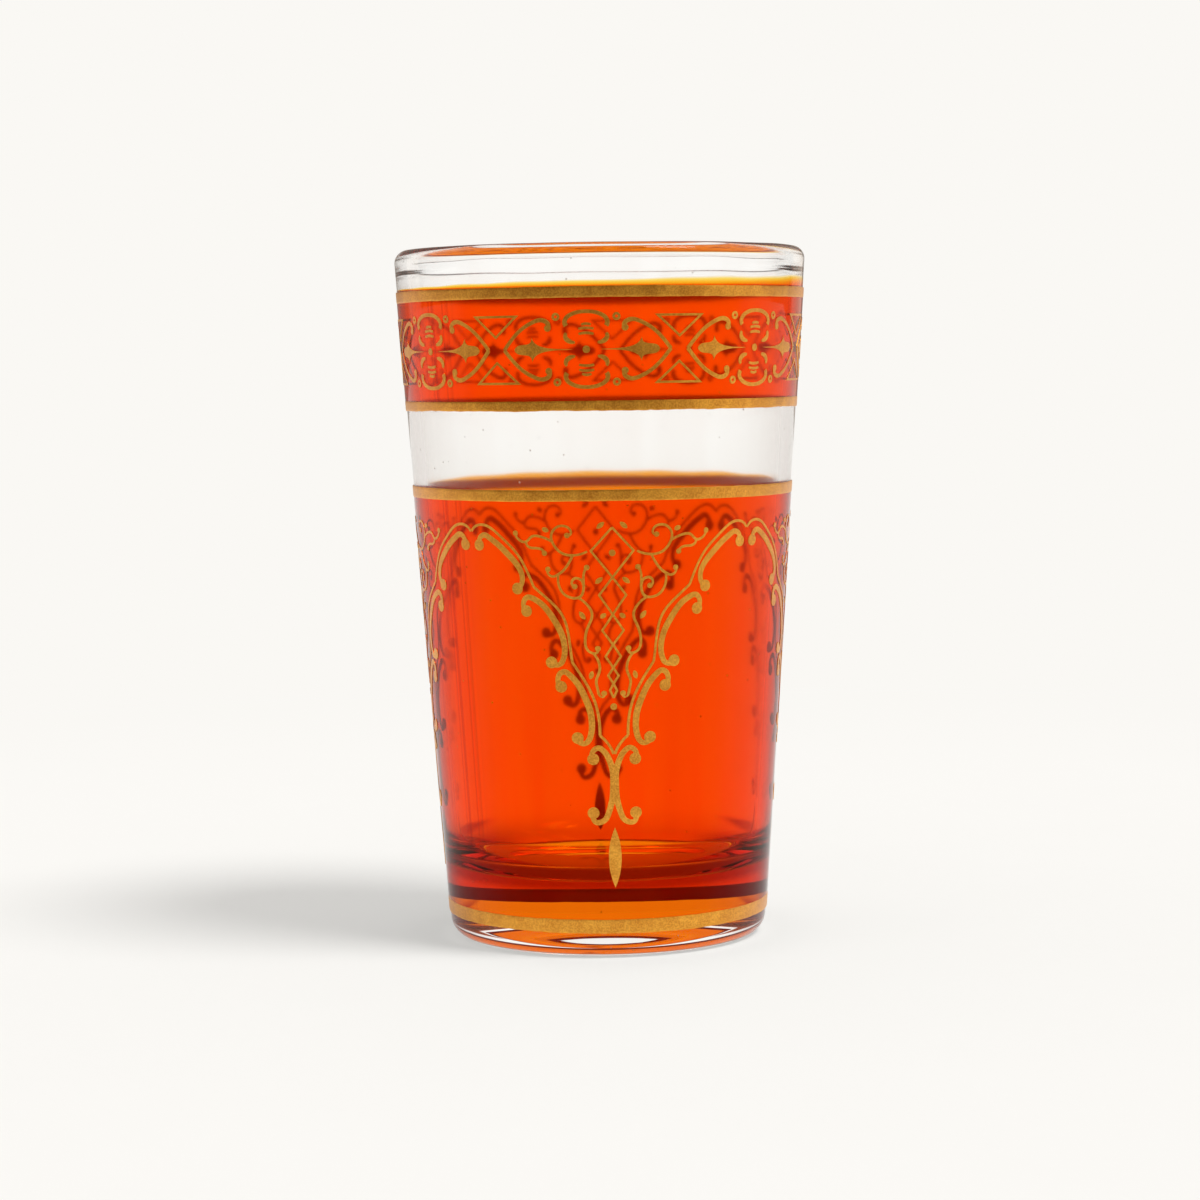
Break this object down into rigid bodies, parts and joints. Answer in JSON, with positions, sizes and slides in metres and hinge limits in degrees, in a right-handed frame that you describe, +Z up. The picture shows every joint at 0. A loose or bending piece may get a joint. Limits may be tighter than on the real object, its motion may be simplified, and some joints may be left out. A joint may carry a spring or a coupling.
{
  "type": "moroccan tea glass",
  "caption": "Small conical tea glass with a thick base, see-through orange coats and gilded bands, friezes and hanging festoons, for serving hot mint tea.",
  "frame": {"origin": "centre of the resting ring under the foot", "axes": "+Z up along the glass's axis, -Y towards the viewer of the picture"},
  "size_m": [0.0536, 0.0536, 0.09],
  "materials": {
    "clear_glass": "clear pressed glass, fire polished",
    "orange_coat": "see-through orange glaze, glossy",
    "gilding": "fired gold print, satin"
  },
  "bodies": {
    "root": {"glass_body": "clear_glass", "upper_colour_band": "orange_coat", "lower_colour_coat": "orange_coat", "rim_gold_band": "gilding", "frieze_gold_band": "gilding", "shoulder_gold_band": "gilding", "foot_gold_band": "gilding", "frieze_knots": "gilding", "frieze_rings": "gilding", "frieze_buds": "gilding", "frieze_arches": "gilding", "frieze_hourglasses": "gilding", "festoon_outline": "gilding", "festoon_crest_scrolls": "gilding", "festoon_middle_scrolls": "gilding", "festoon_lower_scrolls": "gilding", "pendant_hooks": "gilding", "pendant_drops": "gilding", "lattice_diamonds": "gilding", "lattice_tendrils": "gilding", "lattice_leaves": "gilding"}
  },
  "joints": []
}
